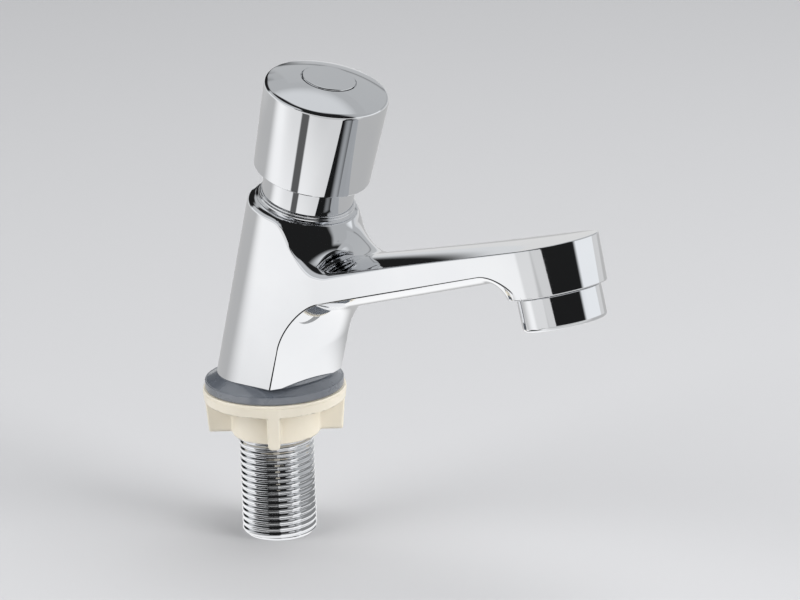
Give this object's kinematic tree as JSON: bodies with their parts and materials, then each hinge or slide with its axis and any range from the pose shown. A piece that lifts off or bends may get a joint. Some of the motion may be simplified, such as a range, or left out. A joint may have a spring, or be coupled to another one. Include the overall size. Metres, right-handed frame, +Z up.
{
  "type": "push timed basin tap",
  "caption": "Chrome self-closing basin tap: leaning body, rising spout with aerator, sprung push cap over a timing cartridge, threaded tail with gasket and winged fixing nut.",
  "frame": {"origin": "on the threaded tail's axis, in the plane where the base gasket meets the basin deck", "axes": "+Z up, along the tail; +X along the spout, from the body to the outlet; +Y to the left of the spout seen from above"},
  "size_m": [0.1407, 0.04, 0.137],
  "materials": {
    "chrome": "polished chrome plate",
    "grey_rubber": "moulded matt",
    "black_rubber": "moulded matt",
    "cream_plastic": "moulded satin",
    "white_plastic": "moulded satin",
    "dark_plastic": "moulded satin",
    "green_plastic": "moulded satin",
    "steel": "drawn stainless",
    "brass": "turned"
  },
  "bodies": {
    "tap": {"tap_body": "chrome", "shank": "chrome", "base_gasket": "grey_rubber", "strainer_rim": "white_plastic", "strainer_mesh": "steel", "valve_seat": "brass", "timing_sleeve": "white_plastic", "sleeve_oring": "black_rubber", "bonnet": "chrome", "bonnet_seal": "black_rubber", "stem_oring": "black_rubber", "collar_ring": "chrome", "return_spring": "steel", "aerator_housing": "chrome", "aerator_gasket": "black_rubber", "flow_regulator": "green_plastic", "aerator_mixer": "white_plastic", "aerator_mesh": "steel", "outlet_grille": "white_plastic"},
    "plunger": {"push_cap": "chrome", "cap_screw": "steel", "cap_disc": "chrome", "push_stem": "steel", "stem_clip": "steel", "timing_piston": "dark_plastic", "piston_seal": "black_rubber", "valve_washer": "black_rubber", "washer_cup": "brass", "stem_nut": "brass"},
    "washer": {"slip_washer": "cream_plastic"},
    "nut": {"fixing_nut": "cream_plastic"}
  },
  "joints": [
    {"name": "push", "type": "slide", "parent": "tap", "child": "plunger", "axis": [-0.2815, 0, -0.9596], "range_m": [0, 0.0027], "stiffness_N_per_m": 1200, "springref_m": -0.005, "deforming": ["return_spring"]},
    {"name": "washer_slide", "type": "slide", "parent": "tap", "child": "washer", "axis": [0, 0, -1], "range_m": [0, 0.0215]},
    {"name": "nut_turn", "type": "hinge", "parent": "washer", "child": "nut", "pos_m": [0, 0, 0], "axis": [0, 0, -1], "range_deg": [0, 4275]}
  ],
  "couplings": [
    {"joint": "nut_turn", "follows": "washer_slide", "rad_per_m": 3463.7}
  ]
}
